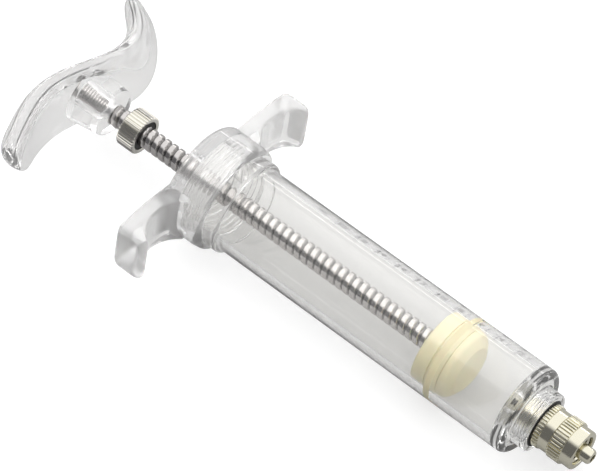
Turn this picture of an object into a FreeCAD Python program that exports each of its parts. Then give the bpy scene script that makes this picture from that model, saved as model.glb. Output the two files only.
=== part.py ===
"""Reusable 20 ml dosing syringe: clear barrel, winged screw cap, threaded rod with dose nut,
palm handle, piston and a metal nozzle with a Luer lock nut.

Every piece is built on the syringe's own axis: local X runs along the bore towards the nozzle with
x = 0 at the barrel's front shoulder, local Y runs along the finger wings, local Z is square to them.
The finished pieces are then laid down the way the syringe lies on a table, resting on the rim of its
cap, the front of its barrel and one wing tip, with the floor at z = 0.
"""
import FreeCAD, Part
import math
import os

Vector = FreeCAD.Vector

# Fits and clearances
RUNNING = 0.05          # radial clearance of a part that turns or slides on another
SEAL_CLEARANCE = 0.03   # the seal's lip to the bore wall
AXIAL_PLAY = 0.05       # end play of a part that turns between two shoulders

# Barrel
BARREL_R = 12.0
BARREL_WALL = 2.0
BORE_R = BARREL_R - BARREL_WALL
BORE_END_X = -3.9
SHOULDER_ROUND = 2.0
BARREL_REAR_X = -103.4
THREAD_R = BARREL_R + 1.1       # rear male thread that the cap screws on
THREAD_ROOT_R = THREAD_R - 0.6
THREAD_PITCH = 1.1
THREAD_FRONT_X = -95.4
FLANGE_R = THREAD_R + 0.05
FLANGE_FRONT_X = -91.0

# Nozzle
GASKET_REAR_X = 3.1
SPIGOT_R = 4.5
GASKET_R = SPIGOT_R + 2.2
NECK_R = GASKET_R + 1.5
NECK_LENGTH = 4.0
SPIGOT_REAR_X = -2.6
COLLAR_X = (4.1, 6.1)
COLLAR_R = 6.0
BAND_R = 5.65
NUT_X = (8.95, 15.9)
NUT_KNURL_R = 6.0
NUT_KNURL_LENGTH = 3.8
NUT_FRONT_R = 5.45
NUT_WALL = 2.2
NUT_RECESS_R = 4.0
STEM_R = 3.1
RETAINER_R = 3.55
RETAINER_LENGTH = 0.7
CONE_TIP_X = 18.9
CONE_TIP_R = 2.0
CONE_SLOPE = 0.03       # 6 % taper on the diameter
CHANNEL_R = 1.0

# Winged cap
CAP_REAR_X = -107.3
CAP_FRONT_X = -94.8
CAP_R = THREAD_R + 2.0
CAP_FRONT_R = CAP_R - 0.5
CAP_ROUND = 1.4
CAP_REAR_ROUND = 1.8
WING_SPAN = 32.7        # half, axis to tip
WING_HALF_DEPTH = 7.45
WING_TIP_LENGTH = 9.2
WING_WAIST = 4.2
WING_WAIST_Y = 22.0
WING_SCOOP_R = 10.1
WING_EDGE = 1.2

# Threaded rod
ROD_R = 2.85
ROD_ROOT_R = ROD_R - 0.45
ROD_PITCH = 2.25
ROD_FLAT = ROD_R - 0.5  # axis to each of the two flats
ROD_COARSE_X = (-136.2, -29.9)
ROD_REAR_X = -145.6
ROD_REAR_R = ROD_ROOT_R + 0.05
ROD_FRONT_X = -22.4
ROD_FRONT_R = ROD_ROOT_R

# Dose nut
DOSE_X = (-130.4, -125.1)
DOSE_R = 5.45
DOSE_WALL = 1.0
INSERT_R = 4.1
INSERT_SET_BACK = 0.35

# Piston
PISTON_REAR_X = -29.9
PISTON_NOSE_X = -19.0
PISTON_R = BORE_R - 0.3
GROOVE_R = PISTON_R - 1.3
GROOVE_X = (-25.9, -22.4)
LIP_X = (-25.1, -23.3)
BODY_NOSE_R = PISTON_R - 3.2

# Palm handle; each list of five is read at the +Y tip, halfway, on the axis, halfway and at the -Y tip
HANDLE_SPAN = 25.8      # half, axis to tip along Y
HANDLE_X = -147.0       # centre line of the bar on the axis
HANDLE_WAVE = (-6.2, 4.6, 0.0, -3.1, -0.5)      # centre line along X, from HANDLE_X
HANDLE_RISE = (8.8, 2.1, 0.0, -2.5, -8.4)       # centre line along Z
HANDLE_LEAN = (-0.8, 0.0, 0.0, 0.0, 0.0)        # tilt of the broad side towards X
HANDLE_HALF_WIDTH = (14.5, 12.1, 10.4, 11.5, 15.3)
HANDLE_HALF_THICK = 3.15
HANDLE_HOLLOW = 0.9     # how far the long edges bow forwards
HANDLE_TIP_ROUND = 19.0     # the higher, the squarer the tips
BOSS_FRONT_X = -135.25
BOSS_FRONT_R = 6.6
BOSS_ROOT_R = 7.9
BOSS_ROOT_X = -144.0

# Knurling
KNURL_DEPTH = 0.35
EDGE = 0.3              # small edge breaks on turned metal


def rounded_wire(corners):
    """Closed wire in the XY plane through (x, y) or (x, y, rounding) corners."""
    points = [Vector(c[0], c[1], 0) for c in corners]
    count = len(corners)
    edges, first, last = [], None, None
    for i, corner in enumerate(corners):
        here = points[i]
        rounding = corner[2] if len(corner) > 2 else 0
        if rounding:
            back = (points[i - 1] - here).normalize()
            ahead = (points[(i + 1) % count] - here).normalize()
            half = back.getAngle(ahead) / 2
            start = here + back * (rounding / math.tan(half))
            end = here + ahead * (rounding / math.tan(half))
            centre = here + (back + ahead).normalize() * (rounding / math.sin(half))
            middle = centre + (here - centre).normalize() * rounding
        else:
            start = end = here
        if last is not None and last.distanceToPoint(start) > 1e-6:
            edges.append(Part.LineSegment(last, start).toShape())
        if rounding:
            edges.append(Part.Arc(start, middle, end).toShape())
        if first is None:
            first = start
        last = end
    if last.distanceToPoint(first) > 1e-6:
        edges.append(Part.LineSegment(last, first).toShape())
    return Part.Wire(edges)


def turned(corners):
    """Solid of revolution about X; corners are (x, radius) or (x, radius, rounding)."""
    return Part.Face(rounded_wire(corners)).revolve(Vector(0, 0, 0), Vector(1, 0, 0), 360)


def disc(x0, x1, radius):
    """Plain cylinder on the axis from x0 to x1."""
    return Part.makeCylinder(radius, x1 - x0, Vector(x0, 0, 0), Vector(1, 0, 0))


def knurled(x0, x1, radius, teeth):
    """Straight-knurled cylinder with broken ends."""
    ring = []
    for i in range(2 * teeth):
        angle = math.pi * i / teeth
        r = radius if i % 2 == 0 else radius - KNURL_DEPTH
        ring.append(Vector(x0, r * math.cos(angle), r * math.sin(angle)))
    star = Part.Face(Part.makePolygon(ring + ring[:1])).extrude(Vector(x1 - x0, 0, 0))
    ends = turned([(x0, 0), (x0, radius - EDGE), (x0 + EDGE, radius + 0.01),
                   (x1 - EDGE, radius + 0.01), (x1, radius - EDGE), (x1, 0)])
    return star.common(ends)


def ridged(x0, x1, root, crest, pitch):
    """Corners, rear to front, of a thread drawn as even ridges that fit between x0 and x1."""
    turns = int((x1 - x0) / pitch)
    step = (x1 - x0) / turns
    corners = [(x0, root)]
    for i in range(turns):
        base = x0 + i * step
        corners += [(base + 0.24 * step, crest), (base + 0.66 * step, crest), (base + 0.9 * step, root)]
    return corners + [(x1, root)]


def barrel_tube():
    """Clear tube with a closed front, a threaded neck and a male thread at the rear."""
    outline = [(BARREL_REAR_X, BORE_R)]
    outline += ridged(BARREL_REAR_X, THREAD_FRONT_X, THREAD_ROOT_R, THREAD_R, THREAD_PITCH)
    outline += [
        (THREAD_FRONT_X, FLANGE_R), (FLANGE_FRONT_X, FLANGE_R, 0.9), (FLANGE_FRONT_X, BARREL_R),
        (0, BARREL_R, SHOULDER_ROUND), (0, NECK_R, 0.5), (NECK_LENGTH, NECK_R, 0.5),
        (NECK_LENGTH, GASKET_R), (GASKET_REAR_X, GASKET_R), (GASKET_REAR_X, SPIGOT_R),
        (SPIGOT_REAR_X, SPIGOT_R), (SPIGOT_REAR_X, 2.2), (BORE_END_X, 2.2), (BORE_END_X, BORE_R, 1.0),
    ]
    return turned(outline)


def nozzle_gasket():
    """Black ring squeezed between the neck and the nozzle's collar."""
    return turned([(GASKET_REAR_X, SPIGOT_R), (GASKET_REAR_X, GASKET_R),
                   (COLLAR_X[0], GASKET_R, 0.4), (COLLAR_X[0], SPIGOT_R)])


def cone_radius(x):
    """Radius of the Luer cone at x."""
    return CONE_TIP_R + CONE_SLOPE * (CONE_TIP_X - x)


def nozzle_adapter():
    """Screwed-in metal nozzle: spigot, knurled collar, band, stem and Luer cone."""
    retainer_x = NUT_X[0] + NUT_WALL + AXIAL_PLAY
    cone_x = retainer_x + RETAINER_LENGTH
    body = turned([
        (SPIGOT_REAR_X, 0), (SPIGOT_REAR_X, SPIGOT_R - EDGE), (SPIGOT_REAR_X + EDGE, SPIGOT_R),
        (COLLAR_X[0], SPIGOT_R), (COLLAR_X[0], BAND_R), (NUT_X[0] - AXIAL_PLAY, BAND_R, EDGE),
        (NUT_X[0] - AXIAL_PLAY, STEM_R), (retainer_x, STEM_R), (retainer_x, RETAINER_R),
        (cone_x, RETAINER_R), (cone_x, cone_radius(cone_x)), (CONE_TIP_X, CONE_TIP_R, 0.5), (CONE_TIP_X, 0),
    ])
    collar = knurled(COLLAR_X[0], COLLAR_X[1], COLLAR_R, 34)
    return body.fuse(collar).cut(disc(SPIGOT_REAR_X - 1, CONE_TIP_X + 1, CHANNEL_R)).removeSplitter()


def luer_lock_nut():
    """Nut that turns freely on the stem, open at the front with a lock thread inside."""
    knurl_end = NUT_X[0] + NUT_KNURL_LENGTH
    rear = knurled(NUT_X[0], knurl_end, NUT_KNURL_R, 34)
    front = turned([(NUT_X[0] + 1, 0), (NUT_X[0] + 1, NUT_FRONT_R), (NUT_X[1], NUT_FRONT_R, 0.5),
                    (NUT_X[1], 0)])
    wall_end = NUT_X[0] + NUT_WALL
    hollow = turned([
        (NUT_X[0] - 1, 0), (NUT_X[0] - 1, STEM_R + RUNNING), (wall_end, STEM_R + RUNNING),
        (wall_end, NUT_RECESS_R), (NUT_X[1] - 2.6, NUT_RECESS_R), (NUT_X[1] - 2.3, 3.65),
        (NUT_X[1] - 1.9, 3.65), (NUT_X[1] - 1.6, NUT_RECESS_R), (NUT_X[1] + 1, NUT_RECESS_R),
        (NUT_X[1] + 1, 0),
    ])
    return rear.fuse(front).cut(hollow).removeSplitter()


def wing_outline():
    """Half outline of the finger wings in the XY plane, rear face to front."""
    scoop = WING_SCOOP_R
    scoop_x = CAP_REAR_X + WING_WAIST + scoop
    tip_x = CAP_REAR_X + WING_TIP_LENGTH
    reach = math.sqrt(scoop ** 2 - (scoop_x - tip_x) ** 2)
    start = Vector(tip_x, WING_WAIST_Y + reach, 0)
    middle = Vector(scoop_x - scoop, WING_WAIST_Y, 0)
    angle = math.radians(52)
    end = Vector(scoop_x - scoop * math.cos(angle), WING_WAIST_Y - scoop * math.sin(angle), 0)
    return start, middle, end


def finger_grip_cap():
    """Clear screw cap with two scooped finger wings."""
    start, middle, end = wing_outline()
    mirror = [Vector(p.x, -p.y, 0) for p in (start, middle, end)]
    r = 1.1
    edges = [
        Part.LineSegment(Vector(CAP_REAR_X, -WING_SPAN + r, 0), Vector(CAP_REAR_X, WING_SPAN - r, 0)),
        Part.Arc(Vector(CAP_REAR_X, WING_SPAN - r, 0),
                 Vector(CAP_REAR_X + r * (1 - math.sqrt(0.5)), WING_SPAN - r * (1 - math.sqrt(0.5)), 0),
                 Vector(CAP_REAR_X + r, WING_SPAN, 0)),
        Part.LineSegment(Vector(CAP_REAR_X + r, WING_SPAN, 0), Vector(start.x - 2.2, WING_SPAN, 0)),
        Part.Arc(Vector(start.x - 2.2, WING_SPAN, 0), Vector(start.x - 0.4, WING_SPAN - 1.0, 0), start),
        Part.Arc(start, middle, end),
        Part.LineSegment(end, mirror[2]),
        Part.Arc(mirror[2], mirror[1], mirror[0]),
        Part.Arc(mirror[0], Vector(start.x - 0.4, -WING_SPAN + 1.0, 0),
                 Vector(start.x - 2.2, -WING_SPAN, 0)),
        Part.LineSegment(Vector(start.x - 2.2, -WING_SPAN, 0), Vector(CAP_REAR_X + r, -WING_SPAN, 0)),
        Part.Arc(Vector(CAP_REAR_X + r, -WING_SPAN, 0),
                 Vector(CAP_REAR_X + r * (1 - math.sqrt(0.5)), -WING_SPAN + r * (1 - math.sqrt(0.5)), 0),
                 Vector(CAP_REAR_X, -WING_SPAN + r, 0)),
    ]
    face = Part.Face(Part.Wire([edge.toShape() for edge in edges]))
    face.translate(Vector(0, 0, -WING_HALF_DEPTH))
    wings = face.extrude(Vector(0, 0, 2 * WING_HALF_DEPTH))
    bar = Part.makeBox(60, 2 * WING_SPAN + 2, 2 * WING_HALF_DEPTH,
                       Vector(CAP_REAR_X, -WING_SPAN - 1, -WING_HALF_DEPTH))
    bevel = [e for e in bar.Edges
             if abs(e.CenterOfMass.x - CAP_REAR_X) < 1e-6 and abs(abs(e.CenterOfMass.z) - WING_HALF_DEPTH) < 1e-6]
    wings = wings.common(bar.makeFillet(WING_EDGE, bevel))
    round_body = turned([
        (CAP_REAR_X, 0), (CAP_REAR_X, CAP_R, CAP_REAR_ROUND), (CAP_FRONT_X - 3.0, CAP_R - 0.05, 3.0),
        (CAP_FRONT_X, CAP_FRONT_R, CAP_ROUND), (CAP_FRONT_X, 0),
    ])
    hollow = disc(BARREL_REAR_X, CAP_FRONT_X + 1, THREAD_R).fuse(
        disc(CAP_REAR_X - 1, BARREL_REAR_X + 1, ROD_R + RUNNING))
    return wings.fuse(round_body).cut(hollow).removeSplitter()


def plunger_rod():
    """Rod with a coarse rolled thread, two long flats and plain ends that screw into place."""
    outline = [(ROD_REAR_X, 0), (ROD_REAR_X, ROD_REAR_R - EDGE), (ROD_REAR_X + EDGE, ROD_REAR_R),
               (ROD_COARSE_X[0] - 1.2, ROD_REAR_R)]
    outline += ridged(ROD_COARSE_X[0], ROD_COARSE_X[1], ROD_ROOT_R, ROD_R, ROD_PITCH)
    outline += [(ROD_FRONT_X, ROD_FRONT_R), (ROD_FRONT_X, 0)]
    rod = turned(outline)
    for side in (1, -1):
        y0 = ROD_FLAT if side > 0 else -ROD_FLAT - 2
        rod = rod.cut(Part.makeBox(ROD_COARSE_X[1] - ROD_COARSE_X[0], 2, 8,
                                   Vector(ROD_COARSE_X[0], y0, -4)))
    return rod


def dose_nut():
    """Knurled nut that sets the dose, hollow towards the barrel for its black insert."""
    body = knurled(DOSE_X[0], DOSE_X[1], DOSE_R, 36)
    hollow = disc(DOSE_X[0] - 1, DOSE_X[1], ROD_R + RUNNING).fuse(
        disc(DOSE_X[0] + DOSE_WALL, DOSE_X[1] + 1, INSERT_R + RUNNING))
    return body.cut(hollow)


def dose_insert():
    """Black gripping ring inside the dose nut."""
    return turned([(DOSE_X[0] + DOSE_WALL + RUNNING, ROD_R + RUNNING), (DOSE_X[0] + DOSE_WALL + RUNNING, INSERT_R),
                   (DOSE_X[1] - INSERT_SET_BACK, INSERT_R), (DOSE_X[1] - INSERT_SET_BACK, ROD_R + RUNNING)])


def piston_body():
    """Cream piston with a domed nose and a groove for its seal."""
    return turned([
        (PISTON_REAR_X, ROD_FRONT_R), (PISTON_REAR_X, PISTON_R, 0.5), (GROOVE_X[0], PISTON_R, 0.2),
        (GROOVE_X[0], GROOVE_R), (GROOVE_X[1], GROOVE_R), (GROOVE_X[1], PISTON_R - 0.1, 0.5),
        (PISTON_NOSE_X - 1.6, PISTON_R - 0.4, 1.4), (PISTON_NOSE_X, BODY_NOSE_R, 1.2),
        (PISTON_NOSE_X, 0), (ROD_FRONT_X, 0), (ROD_FRONT_X, ROD_FRONT_R),
    ])


def piston_seal():
    """Ring in the piston's groove whose lip runs on the bore."""
    lip = BORE_R - SEAL_CLEARANCE
    return turned([
        (GROOVE_X[0], GROOVE_R), (GROOVE_X[0], PISTON_R - 0.3), (LIP_X[0], lip, 0.15), (LIP_X[1], lip, 0.15),
        (GROOVE_X[1], PISTON_R - 0.3), (GROOVE_X[1], GROOVE_R),
    ])


def through(values, s):
    """Value at s of the curve of degree four through values spaced evenly from s = -1 to 1."""
    total = 0.0
    for i, value in enumerate(values):
        own = -1 + 0.5 * i
        for j in range(len(values)):
            if j != i:
                value *= (s - (-1 + 0.5 * j)) / (own - (-1 + 0.5 * j))
        total += value
    return total


def handle_line(s):
    """Point of the palm handle's centre line at s, from -1 at the +Y tip to 1 at the -Y tip."""
    return Vector(HANDLE_X + through(HANDLE_WAVE, s), -s * HANDLE_SPAN, through(HANDLE_RISE, s))


def handle_section(s):
    """Rounded closed section of the palm handle at s, square to its centre line."""
    along = (handle_line(s + 0.01) - handle_line(s - 0.01)).normalize()
    broad = Vector(through(HANDLE_LEAN, s), 0, 1)
    broad = (broad - along * broad.dot(along)).normalize()
    thin = along.cross(broad)
    shrink = (1 - abs(s) ** HANDLE_TIP_ROUND) ** 0.55
    half_width = through(HANDLE_HALF_WIDTH, s) * shrink
    half_thick = HANDLE_HALF_THICK * shrink
    points = []
    for i in range(20):
        angle = 2 * math.pi * i / 20
        u = math.copysign(abs(math.cos(angle)) ** 0.77, math.cos(angle))
        v = math.copysign(abs(math.sin(angle)) ** 0.77, math.sin(angle))
        bow = HANDLE_HOLLOW * shrink * u * u
        points.append(handle_line(s) + broad * (half_width * u) + thin * (half_thick * v - bow))
    curve = Part.BSplineCurve()
    curve.interpolate(points, PeriodicFlag=True)
    return Part.Wire([curve.toShape()])


def thumb_handle():
    """Clear palm handle on a boss that screws on the rod's rear end."""
    stations = [math.sin(math.pi / 2 * i / 9) * 0.997 for i in range(-9, 10)]
    bar = Part.makeLoft([handle_section(s) for s in stations], True, False)
    boss = turned([(BOSS_ROOT_X - 1, 0), (BOSS_ROOT_X - 1, BOSS_ROOT_R), (BOSS_FRONT_X, BOSS_FRONT_R, 1.0),
                   (BOSS_FRONT_X, 0)])
    bore = turned([(ROD_REAR_X, 0), (ROD_REAR_X, ROD_REAR_R), (ROD_COARSE_X[0] - 1.2, ROD_REAR_R),
                   (ROD_COARSE_X[0], ROD_R + RUNNING), (BOSS_FRONT_X + 1, ROD_R + RUNNING),
                   (BOSS_FRONT_X + 1, 0)])
    return bar.fuse(boss).cut(bore)


def lying_placement():
    """Pitch, roll and rotation that lay the syringe on its cap's rim, its front rim and a wing tip."""
    front = Vector(-SHOULDER_ROUND, BARREL_R, 0)
    rims = [Vector(CAP_REAR_X + CAP_REAR_ROUND, CAP_R, 0), Vector(CAP_FRONT_X - 2.6, CAP_R - 0.05, 0)]
    pitch = max(math.atan2(rim.y - front.y, front.x - rim.x) for rim in rims)
    tip_x = CAP_REAR_X + WING_TIP_LENGTH - 2.2
    rest = BARREL_R + (front.x - tip_x) * math.tan(pitch)
    roll = math.asin(rest / math.hypot(WING_SPAN, WING_HALF_DEPTH)) - math.atan2(WING_HALF_DEPTH, WING_SPAN)
    turn = FreeCAD.Rotation(Vector(0, 1, 0), math.degrees(pitch)).multiply(
        FreeCAD.Rotation(Vector(1, 0, 0), -math.degrees(roll)))
    return pitch, roll, turn


PIECES = {
    "barrel_tube": barrel_tube,
    "finger_grip_cap": finger_grip_cap,
    "nozzle_adapter": nozzle_adapter,
    "nozzle_gasket": nozzle_gasket,
    "luer_lock_nut": luer_lock_nut,
    "plunger_rod": plunger_rod,
    "thumb_handle": thumb_handle,
    "piston_body": piston_body,
    "piston_seal": piston_seal,
    "dose_nut": dose_nut,
    "dose_insert": dose_insert,
}


def main():
    """Build every piece, lay the syringe down and write one STEP file a piece."""
    os.makedirs("parts", exist_ok=True)
    shapes = {name: build() for name, build in PIECES.items()}
    pitch, roll, turn = lying_placement()
    laid = {}
    box = FreeCAD.BoundBox()
    for name, shape in shapes.items():
        laid[name] = shape.transformed(FreeCAD.Placement(Vector(0, 0, 0), turn).toMatrix(), True)
        box.add(laid[name].optimalBoundingBox(False, False))
    shift = Vector(-box.Center.x, -box.Center.y, -box.ZMin)
    print("pitch %.3f roll %.3f shift %.3f %.3f %.3f" % (
        math.degrees(pitch), math.degrees(roll), shift.x, shift.y, shift.z))
    for name, shape in laid.items():
        moved = shape.copy()
        moved.translate(shift)
        print("%-16s %s valid %s solids %d volume %.1f" % (
            name, shape.ShapeType, moved.isValid(), len(moved.Solids), moved.Volume))
        if len(moved.Solids) == 1:
            moved = moved.Solids[0]
        moved.exportStep(os.path.join("parts", name + ".step"))


main()
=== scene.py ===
"""Looks of the reusable dosing syringe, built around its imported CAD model.

Pieces are worked out on the syringe's own axis, in millimetres: X along the bore towards the nozzle
with x = 0 at the barrel's front shoulder, Y along the finger wings, Z square to them. Lying.place()
turns them into the frame's metres, where the syringe lies on z = 0.
"""
import logging
import math
from dataclasses import dataclass, field
from enum import Enum
from typing import Callable, Optional, Sequence

import bpy
import numpy as np
from bpy.types import ID, Material, Mesh, Node, NodeSocket, NodeTree, Object
from mathutils import Matrix, Vector


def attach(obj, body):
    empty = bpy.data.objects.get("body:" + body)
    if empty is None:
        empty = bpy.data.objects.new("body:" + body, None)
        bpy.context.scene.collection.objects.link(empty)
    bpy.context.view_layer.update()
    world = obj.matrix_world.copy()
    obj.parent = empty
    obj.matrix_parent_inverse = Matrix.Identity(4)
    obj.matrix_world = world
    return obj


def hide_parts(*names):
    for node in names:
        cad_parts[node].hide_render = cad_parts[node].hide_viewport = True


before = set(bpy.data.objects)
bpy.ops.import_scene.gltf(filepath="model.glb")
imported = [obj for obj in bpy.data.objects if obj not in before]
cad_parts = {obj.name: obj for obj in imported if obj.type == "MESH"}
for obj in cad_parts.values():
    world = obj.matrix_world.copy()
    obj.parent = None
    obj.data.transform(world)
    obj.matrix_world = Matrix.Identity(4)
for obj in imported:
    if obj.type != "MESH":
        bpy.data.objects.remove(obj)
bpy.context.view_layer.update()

LOG = logging.getLogger("syringe")
TAU = 2 * math.pi
MM = 0.001
POINTS_A_TOOTH = 8  # points round a knurl, a tooth
AXIS = 0.01  # radius in mm of the small face that closes a turned piece on its axis

Array = np.ndarray
Colour = tuple[float, float, float, float]
Vec3 = tuple[float, float, float]
Surface = tuple[Array, list[list[int]]]


class Slot(Enum):
    """Material slots of the record."""

    CLEAR = "clear_plastic"
    NICKEL = "nickel_plate"
    RUBBER = "black_rubber"
    CREAM = "cream_plastic"
    SILICONE = "cream_silicone"


class Body(Enum):
    """Moving bodies of the record."""

    BARREL = "barrel"
    PLUNGER = "plunger"
    LOCK_NUT = "luer_nut"
    INSERT = "dose_slider"
    DOSE_NUT = "dose_setter"


@dataclass(frozen=True)
class Lying:
    """How the syringe's axis frame lies in the row frame.

    Attributes:
        pitch: angle in degrees by which the nozzle dips.
        roll: angle in degrees by which the +Y wing dips.
        shift: move in millimetres after both turns.
    """

    pitch: float = 1.831
    roll: float = 14.006
    shift: Vec3 = (67.216, 0.0, 11.932)

    def turn(self) -> Array:
        """Return the 3 x 3 turning matrix, roll first and pitch second."""
        p, r = math.radians(self.pitch), math.radians(self.roll)
        roll = np.array([[1, 0, 0], [0, math.cos(r), math.sin(r)], [0, -math.sin(r), math.cos(r)]])
        pitch = np.array([[math.cos(p), 0, math.sin(p)], [0, 1, 0], [-math.sin(p), 0, math.cos(p)]])
        return pitch @ roll

    def place(self, points: Array) -> Array:
        """Turn axis-frame points in mm into row-frame points in metres."""
        return (points @ self.turn().T + np.array(self.shift)) * MM


LYING = Lying()


# Surfaces


def rounded(corners: Sequence[tuple[float, ...]], steps: int = 6) -> Array:
    """Open polyline through corners, each rounded by an arc tangent to both of its sides.

    An arc of radius r starts r / tan(half angle) before the corner and is centred on the bisector.

    Args:
        corners: (x, r) or (x, r, rounding) in mm.
        steps: straight pieces an arc.

    Returns:
        Points of shape (n, 2).
    """
    points: list[Array] = []
    for i, corner in enumerate(corners):
        here = np.array(corner[:2], float)
        if len(corner) < 3 or not 0 < i < len(corners) - 1:
            points.append(here[None])
            continue
        back = np.array(corners[i - 1][:2], float) - here
        ahead = np.array(corners[i + 1][:2], float) - here
        back, ahead = back / np.linalg.norm(back), ahead / np.linalg.norm(ahead)
        half = math.acos(float(np.clip(back @ ahead, -1, 1))) / 2
        middle = (back + ahead) / np.linalg.norm(back + ahead)
        centre = here + middle * corner[2] / math.sin(half)
        start = here + back * corner[2] / math.tan(half) - centre
        end = here + ahead * corner[2] / math.tan(half) - centre
        a0, a1 = math.atan2(start[1], start[0]), math.atan2(end[1], end[0])
        sweep = (a1 - a0 + math.pi) % TAU - math.pi
        angles = a0 + sweep * np.linspace(0, 1, steps + 1)
        points.append(centre + corner[2] * np.stack([np.cos(angles), np.sin(angles)], 1))
    return np.concatenate(points)


def divided(line: Array, longest: float, x0: float = -1e9, x1: float = 1e9) -> Array:
    """Put more points on a polyline's pieces between x0 and x1, so that none is over the longest."""
    out = [line[:1]]
    for a, b in zip(line[:-1], line[1:]):
        inside = x0 - 1e-6 <= min(a[0], b[0]) and max(a[0], b[0]) <= x1 + 1e-6
        count = max(1, math.ceil(float(np.hypot(*(b - a))) / longest)) if inside else 1
        out.append(a + (b - a) * np.linspace(0, 1, count + 1)[1:, None])
    return np.concatenate(out)


def grid_faces(rows: int, columns: int, wrap_rows: bool) -> list[list[int]]:
    """Quads of a grid of points whose columns close on themselves.

    Args:
        rows: number of rings.
        columns: points a ring.
        wrap_rows: whether the last ring joins the first.

    Returns:
        Faces as lists of point numbers, row-major.
    """
    last = rows if wrap_rows else rows - 1
    i, j = np.meshgrid(np.arange(last), np.arange(columns), indexing="ij")
    i1, j1 = (i + 1) % rows, (j + 1) % columns
    quads = np.stack([i * columns + j, i * columns + j1, i1 * columns + j1, i1 * columns + j], -1)
    return quads.reshape(-1, 4).tolist()


def shell(rings: Array, closed_rows: bool) -> Surface:
    """Closed surface through rings of points; open ends are closed by their own ring as one face.

    Args:
        rings: points of shape (rows, columns, 3).
        closed_rows: whether the last ring joins the first.

    Returns:
        Points of shape (n, 3) and faces.
    """
    rows, columns = rings.shape[:2]
    faces = grid_faces(rows, columns, closed_rows)
    if not closed_rows:
        faces.append(list(range(columns))[::-1])
        faces.append(list(range((rows - 1) * columns, rows * columns)))
    return rings.reshape(-1, 3), faces


Ripple = Callable[[Array, Array, Array], Array]


def turned(profile: Array, segments: int, ripple: Optional[Ripple] = None,
           closed: bool = True) -> Surface:
    """Surface of revolution: the point at (x, angle) is (x, r cos angle, r sin angle).

    Args:
        profile: (x, r) points of shape (n, 2).
        segments: points a ring.
        ripple: gives the radius at (x, r, angle), for threads and knurls.
        closed: whether the profile is a loop; otherwise its two ends are closed by flat faces.

    Returns:
        Points and faces.
    """
    x, r = profile[:, :1], profile[:, 1:]
    angle = np.linspace(0, TAU, segments, endpoint=False)[None, :]
    radius = ripple(x, r, angle) if ripple else r + 0 * angle
    rings = np.stack([x + 0 * angle, radius * np.cos(angle), radius * np.sin(angle)], -1)
    return shell(rings, closed)


def bump(phase: Array, crest: float = 0.34, flank: float = 0.26) -> Array:
    """Height from 0 to 1 of a thread or knurl at a phase in turns: flat crest, sloped flanks, root."""
    away = np.abs((phase + 0.5) % 1.0 - 0.5)
    t = np.clip((away - crest / 2) / flank, 0, 1)
    return 0.5 + 0.5 * np.cos(math.pi * t)


@dataclass(frozen=True)
class Thread:
    """Helical thread: its height at (x, angle) is bump(x / pitch - angle / full turn).

    Attributes:
        x0: rear end in mm.
        x1: front end in mm.
        root: radius at the root in mm.
        crest: radius at the crest in mm.
        pitch: advance a turn in mm.
        wide: share of the pitch that the crest takes.
        flank: share that one flank takes.
        runout: length over which the thread fades at each end in mm.
    """

    x0: float
    x1: float
    root: float
    crest: float
    pitch: float
    wide: float = 0.3
    flank: float = 0.26
    runout: float = 0.6

    def radius(self, x: Array, r: Array, angle: Array) -> Array:
        """Return the radius at (x, angle), and r itself away from the thread."""
        height = bump(x / self.pitch - angle / TAU, self.wide, self.flank)
        fade = np.clip((x - self.x0) / self.runout, 0, 1) * np.clip((self.x1 - x) / self.runout, 0, 1)
        cut = self.root + (self.crest - self.root) * height
        here = (x > self.x0 - 1e-6) & (x < self.x1 + 1e-6) & (np.abs(r - self.root) < 1e-3)
        return np.where(here, self.root + (cut - self.root) * fade, r + 0 * angle)


@dataclass(frozen=True)
class Knurl:
    """Straight knurl: the radius never passes crest - depth * (1 - bump(teeth * angle / full turn)).

    Attributes:
        crest: radius over the teeth in mm.
        depth: depth of the grooves in mm.
        teeth: number of teeth.
        wide: share of a tooth that its flat top takes.
        flank: share that one flank takes.
        reach: how far under the crest, in mm, a profile takes the knurl.
    """

    crest: float
    depth: float
    teeth: int
    wide: float = 0.4
    flank: float = 0.2
    reach: float = 1.2

    def radius(self, x: Array, r: Array, angle: Array) -> Array:
        """Return the smaller of r and the knurl's radius at the angle."""
        tooth = bump(self.teeth * angle / TAU, self.wide, self.flank)
        cut = np.minimum(r, self.crest - self.depth * (1 - tooth))
        return np.where(r > self.crest - self.reach, cut, r + 0 * angle)


def new_object(name: str, data: Optional[ID]) -> Object:
    """Put data into a new object at the origin, in the scene."""
    thing = bpy.data.objects.new(name, data)
    bpy.context.scene.collection.objects.link(thing)
    return thing


def make_piece(name: str, points: Array, faces: list[list[int]], sharp: float = 32.0) -> Object:
    """Put a surface into a new object at the origin, lying in the row frame.

    Args:
        name: the piece's name.
        points: axis-frame points in mm.
        faces: lists of point numbers.
        sharp: edges that turn more than this angle in degrees stay sharp.

    Returns:
        The new object, with its normals outwards.
    """
    mesh = bpy.data.meshes.new(name)
    mesh.from_pydata(LYING.place(points).tolist(), [], faces)
    mesh.validate()
    piece = new_object(name, mesh)
    face_out(mesh)
    soften(mesh, sharp)
    return piece


def face_out(mesh: Mesh) -> None:
    """Turn all the faces of a closed mesh outwards: its signed volume is made positive."""
    mesh.calc_loop_triangles()
    corners = np.empty(len(mesh.loop_triangles) * 3, np.int32)
    mesh.loop_triangles.foreach_get("vertices", corners)
    where = np.empty(len(mesh.vertices) * 3, np.float32)
    mesh.vertices.foreach_get("co", where)
    tri = where.reshape(-1, 3)[corners].reshape(-1, 3, 3).astype(float)
    volume = np.einsum("ij,ij->i", tri[:, 0], np.cross(tri[:, 1], tri[:, 2])).sum()
    if volume < 0:
        mesh.flip_normals()


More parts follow.
